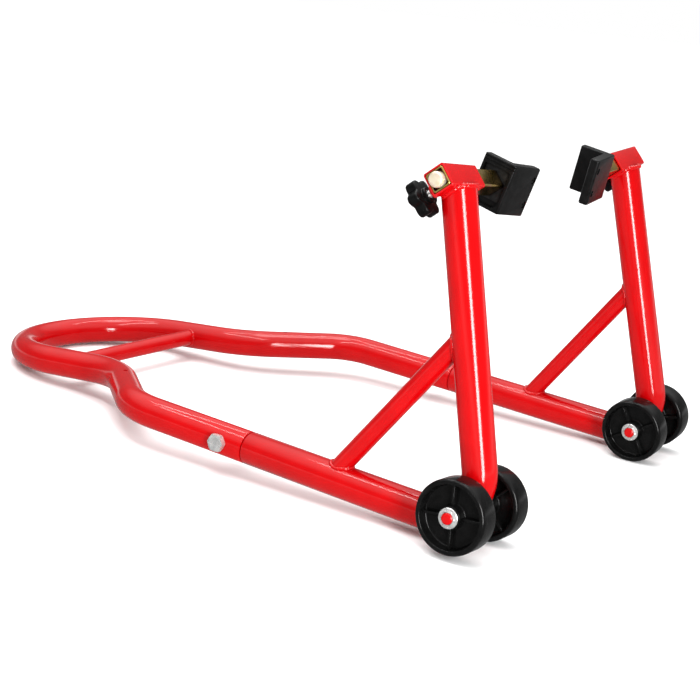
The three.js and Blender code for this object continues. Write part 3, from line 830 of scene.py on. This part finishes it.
def pad(hand):
    tools = pad_openings() + pad_screw_holes() + pad_grooves()
    return placed(carve(pad_block(), *tools), pad_frame(hand))


def pad_bracket(hand):
    low = PLATE_BACK - PLATE_T
    corners = [(PLATE_A0, PLATE_BACK), (PLATE_A0, low), (PLATE_A1 - PLATE_T, low),
               (PLATE_A1 - PLATE_T, PLATE_END), (PLATE_A1, PLATE_END), (PLATE_A1, PLATE_BACK)]
    section = fillet(corners, [0.4, 0.4, 0, 0.4, 0.4, 1.6])
    plate = placed(prism(section, -PLATE_B, PLATE_B, edge=0.3), ALONG_PAD)
    tools = [rod(PIVOT_R + 0.6, low - 1, PLATE_BACK + 1)]
    for b in (-SCREW_B, SCREW_B):
        tools.append(placed(rod(SCREW_R + GAP, PLATE_A1 - PLATE_T - 1, PLATE_A1 + 1), at_screw(b)))
    return placed(carve(plate, *tools), pad_frame(hand))


def pad_screw(b):
    """The screw at height b, with a hexagonal socket in its head."""
    def build(hand):
        socket = hex_outline(SCREW_KEY)
        under, sunk = SCREW_TOP - SCREW_HEAD, SCREW_TOP - SCREW_KEY_DEPTH
        outside = [(SCREW_R - 0.5, SCREW_TIP), (SCREW_R, SCREW_TIP + 0.5), (SCREW_R, under),
                   (SCREW_HEAD_R, under), (SCREW_HEAD_R, SCREW_TOP - 0.8), (SCREW_HEAD_R - 0.9, SCREW_TOP)]
        rings = [[Vector((0, 0, SCREW_TIP))]]
        rings += [level(rounded_to(socket, radius), z) for radius, z in outside]
        rings += [level(socket, SCREW_TOP), level(socket, sunk), [Vector((0, 0, sunk))]]
        return placed(loft(rings), pad_frame(hand) @ at_screw(b))
    return build


# ---- materials --------------------------------------------------------------------------------------------
def fill_ramp(node, stops):
    """Sets a colour ramp from (position, colour) pairs."""
    elements = node.color_ramp.elements
    while len(elements) < len(stops):
        elements.new(0.5)
    for element, (position, colour) in zip(elements, stops):
        element.position = position
        element.color = (*colour, 1)


def grey(value):
    return (value,) * 3


GRAIN_DEPTH = 0.0001


class Nodes:
    """A short way to build a node material."""

    def __init__(self, name):
        self.material = bpy.data.materials.new(name)
        self.material.use_nodes = True
        self.tree = self.material.node_tree
        self.tree.nodes.clear()
        self.output = self.add("ShaderNodeOutputMaterial")
        self.shader = self.add("ShaderNodeBsdfPrincipled")
        self.link(self.shader, "BSDF", self.output, "Surface")
        self.place = self.add("ShaderNodeTexCoord")

    def add(self, kind, **settings):
        node = self.tree.nodes.new(kind)
        for key, value in settings.items():
            if key in node.inputs:
                node.inputs[key].default_value = value
            else:
                setattr(node, key, value)
        return node

    def link(self, source, output, target, input_name):
        self.tree.links.new(source.outputs[output], target.inputs[input_name])

    def set(self, **values):
        for key, value in values.items():
            self.shader.inputs[key.replace("_", " ")].default_value = value

    def noise(self, scale, detail):
        node = self.add("ShaderNodeTexNoise", Scale=scale, Detail=detail, Roughness=0.5)
        self.link(self.place, "Object", node, "Vector")
        return node

    def ramp(self, source, output, stops):
        node = self.add("ShaderNodeValToRGB")
        fill_ramp(node, stops)
        self.link(source, output, node, "Fac")
        return node

    def remap(self, source, output, low, high):
        node = self.add("ShaderNodeMapRange")
        node.inputs["To Min"].default_value = low
        node.inputs["To Max"].default_value = high
        self.link(source, output, node, "Value")
        return node

    def bump(self, source, output, strength, distance):
        node = self.add("ShaderNodeBump", Strength=strength, Distance=distance)
        self.link(source, output, node, "Height")
        self.link(node, "Normal", self.shader, "Normal")

    def paint_shade_in_hollows(self, reach, shade_colour):
        """Painted shade: darkens the colour where surfaces within reach close it in, as shade falls there.
        """
        open_air = self.add("ShaderNodeAmbientOcclusion", Distance=reach)
        painted_shade = self.ramp(open_air, "AO", [(0.40, shade_colour), (0.80, (1, 1, 1))])
        mix = self.add("ShaderNodeMixRGB", blend_type="MULTIPLY", Fac=1.0)
        unshaded = self.shader.inputs["Base Color"].links[0].from_node
        self.link(unshaded, "Color", mix, "Color1")
        self.link(painted_shade, "Color", mix, "Color2")
        self.link(mix, "Color", self.shader, "Base Color")

    def finish(self, stops, rough, grain, scales):
        """Mottled colour, uneven roughness and a fine grain, each with its own noise scale."""
        tint_scale, rough_scale, grain_scale = scales
        tint = self.ramp(self.noise(tint_scale, 2), "Fac", stops)
        wear = self.remap(self.noise(rough_scale, 3), "Fac", *rough)
        self.link(tint, "Color", self.shader, "Base Color")
        self.link(wear, "Result", self.shader, "Roughness")
        self.bump(self.noise(grain_scale, 2), "Fac", grain, GRAIN_DEPTH)
        return self.material


def red_paint():
    n = Nodes("red_paint")
    n.set(IOR=1.40)
    stops = [(0.3, (0.38, 0.0006, 0.0015)), (0.7, (0.42, 0.001, 0.002))]
    return n.finish(stops, rough=(0.10, 0.15), grain=0.008, scales=(35, 90, 420))


def zinc():
    n = Nodes("zinc")
    n.set(Metallic=0.75)
    stops = [(0.3, (0.56, 0.57, 0.57)), (0.7, (0.74, 0.73, 0.71))]
    return n.finish(stops, rough=(0.22, 0.34), grain=0.08, scales=(160, 300, 900))


def yellow_zinc():
    n = Nodes("yellow_zinc")
    n.set(Metallic=1.0)
    stops = [(0.28, (0.66, 0.45, 0.14)), (0.45, (0.60, 0.38, 0.10)), (0.56, (0.50, 0.38, 0.11)),
             (0.72, (0.68, 0.38, 0.20))]
    material = n.finish(stops, rough=(0.16, 0.28), grain=0.04, scales=(75, 260, 700))
    # Painted shade: the colour darkens to brown-black in the slide's mouth and next to the pad and its
    # bracket.
    n.paint_shade_in_hollows(reach=0.018, shade_colour=(0.08, 0.04, 0.015))
    return material


def bright_zinc():
    n = Nodes("bright_zinc")
    n.set(Metallic=0.6)
    stops = [(0.30, (0.76, 0.64, 0.42)), (0.50, (0.84, 0.75, 0.58)), (0.70, (0.80, 0.60, 0.46))]
    return n.finish(stops, rough=(0.26, 0.38), grain=0.05, scales=(110, 260, 700))


def moulded(name, dark, light, rough, grain):
    """A matt black plastic or rubber."""
    n = Nodes(name)
    n.set(IOR=1.24)
    return n.finish([(0.3, grey(dark)), (0.7, grey(light))], rough, grain, scales=(120, 200, 1400))


def black_steel():
    n = Nodes("black_steel")
    n.set(Metallic=0.7)
    stops = [(0.3, grey(0.01)), (0.7, grey(0.025))]
    return n.finish(stops, rough=(0.35, 0.5), grain=0.05, scales=(200, 500, 900))


MATERIALS = {
    "red_paint": red_paint(),
    "zinc": zinc(),
    "yellow_zinc": yellow_zinc(),
    "bright_zinc": bright_zinc(),
    "wheel_plastic": moulded("wheel_plastic", 0.002, 0.004, rough=(0.16, 0.24), grain=0.06),
    "knob_plastic": moulded("knob_plastic", 0.001, 0.003, rough=(0.24, 0.36), grain=0.10),
    "pad_rubber": moulded("pad_rubber", 0.002, 0.005, rough=(0.26, 0.38), grain=0.15),
    "black_steel": black_steel(),
}


# ---- assembly ---------------------------------------------------------------------------------------------
for node_name, node in frame["nodes"].items():
    node.data.materials.clear()
    node.data.materials.append(MATERIALS[SLOT_OF[node_name]])

piece("handle_loop_fine", handle_loop(), "handle_loop")
piece("handle_crossbar_fine", handle_crossbar(), "handle_crossbar")
piece("handle_crossbar_welds", crossbar_welds(), "handle_crossbar", stands_for=False)

both("side_tube", side_tube)
both("brace_tube", brace_tube)
both("brace_welds", brace_welds, like="brace_tube", stands_for=False)
both("head_tube", head_tube)
both("head_weld", head_weld, like="head_tube", stands_for=False)
both("clamp_nut", clamp_nut)
both("clamp_nut_weld", clamp_nut_weld, like="clamp_nut", stands_for=False)
both("axle", axle)
both("joint_bolt", joint_bolt)
both("joint_nut", joint_nut)

for place, direction in (("outer", 1), ("inner", -1)):
    both(f"{place}_spacer", spacer(direction))
    both(f"{place}_wheel", wheel(place, direction))
    both(f"{place}_retainer", retainer(direction))

both("slide_tube", slide_tube)
both("pivot_bolt", pivot_bolt, look="bright_zinc")
both("knob", knob)
both("knob_stud", knob_stud)
both("pad_bracket", pad_bracket)
both("pad", pad)
both("pad_screw_lower", pad_screw(-SCREW_B))
both("pad_screw_upper", pad_screw(SCREW_B))


# ---- stage ------------------------------------------------------------------------------------------------
STUDIO_R, STUDIO_FACETS = 40, 64
STUDIO_EDGE = circle(STUDIO_R, STUDIO_FACETS)


def floor():
    """A pale matt floor. Gloss on the stand reflects the dim studio below instead of it."""
    plane = mesh_object("studio_floor", (level(STUDIO_EDGE, 0), [list(range(STUDIO_FACETS))]), 1)
    n = Nodes("studio_floor")
    n.set(IOR=1.0)
    stops = [(0.3, grey(0.91)), (0.7, grey(0.93))]
    plane.data.materials.append(n.finish(stops, rough=(0.5, 0.7), grain=0.0, scales=(3, 5, 40)))
    plane.visible_glossy = False


def backdrop():
    """A white wall round the floor. Only the camera sees it, so it puts no light on the stand."""
    count = STUDIO_FACETS
    faces = [[i, (i + 1) % count, count + (i + 1) % count, count + i] for i in range(count)]
    wall = mesh_object("studio_wall", (level(STUDIO_EDGE, 0) + level(STUDIO_EDGE, STUDIO_R), faces), 1)
    n = Nodes("studio_wall")
    n.set(Base_Color=(0, 0, 0, 1), IOR=1.0, Emission_Color=(1, 1, 1, 1), Emission_Strength=1.0)
    wall.data.materials.append(n.material)
    for ray in ("diffuse", "glossy", "transmission", "volume_scatter", "shadow"):
        setattr(wall, f"visible_{ray}", False)


def lamp(name, light, at, aim):
    holder = bpy.data.objects.new(name, light)
    bpy.context.scene.collection.objects.link(holder)
    holder.location = at
    holder.rotation_mode = "QUATERNION"
    holder.rotation_quaternion = (Vector(aim) - Vector(at)).to_track_quat("-Z", "Y")


def softbox(name, at, aim, width, height, watts):
    light = bpy.data.lights.new(name, "AREA")
    light.shape = "RECTANGLE"
    light.size, light.size_y = width, height
    light.energy = watts
    lamp(name, light, at, aim)


def ceiling_light(strength, spread):
    light = bpy.data.lights.new("ceiling", "SUN")
    light.energy = strength
    light.angle = radians(spread)
    lamp("ceiling", light, (0, 0, 3), (0, 0, 0))


# Brightness of the studio by how far a direction points up, from -1 to 1.
STUDIO_GREYS = [(-0.03, 0.20), (-0.01, 0.64), (0.02, 0.64), (0.05, 0.45), (0.10, 0.09), (0.40, 0.14),
                (0.70, 0.85), (1.0, 1.0)]


def surroundings():
    """A studio that is dim below, pale at the horizon, dim on its walls and bright overhead."""
    world = bpy.data.worlds.new("studio")
    world.use_nodes = True
    tree = world.node_tree
    background = tree.nodes["Background"]
    place = tree.nodes.new("ShaderNodeTexCoord")
    split = tree.nodes.new("ShaderNodeSeparateXYZ")
    span = tree.nodes.new("ShaderNodeMapRange")
    span.inputs["From Min"].default_value = -1
    fade = tree.nodes.new("ShaderNodeValToRGB")
    fill_ramp(fade, [((height + 1) / 2, grey(value)) for height, value in STUDIO_GREYS])
    tree.links.new(place.outputs["Generated"], split.inputs[0])
    tree.links.new(split.outputs["Z"], span.inputs["Value"])
    tree.links.new(span.outputs["Result"], fade.inputs["Fac"])
    tree.links.new(fade.outputs["Color"], background.inputs["Color"])
    background.inputs["Strength"].default_value = 1.7
    bpy.context.scene.world = world


CAMERA_AT = Vector((1.03701, -1.56746, 0.55636))
CAMERA_RIGHT = Vector((0.83705, 0.53729, 0.10329))
CAMERA_UP = Vector((-0.21334, 0.14667, 0.96591))
CAMERA_LENS = 75.853


def camera():
    """The photo's view, as fitted to it."""
    data = bpy.data.cameras.new("camera")
    data.lens, data.sensor_width = CAMERA_LENS, 36
    view = bpy.data.objects.new("camera", data)
    bpy.context.scene.collection.objects.link(view)
    view.matrix_world = frame_at(CAMERA_RIGHT, CAMERA_UP, CAMERA_RIGHT.cross(CAMERA_UP), CAMERA_AT)
    data.clip_start, data.clip_end = 0.05, 500
    bpy.context.scene.camera = view


floor()
backdrop()
surroundings()
camera()
ceiling_light(strength=0.6, spread=20)
softbox("upright_strip", at=(1.75, -1.35, 0.45), aim=(0.33, -0.2, 0.2), width=0.46, height=1.2, watts=56)
softbox("rail_strip", at=(-0.3, -0.9, 2.2), aim=(0, 0.1, 0), width=2.2, height=0.10, watts=18)
softbox("loop_strip", at=(-0.6, 0.6, 2.2), aim=(-0.2, 0.1, 0), width=2.2, height=0.08, watts=13)
bpy.context.scene.view_settings.view_transform = "Standard"
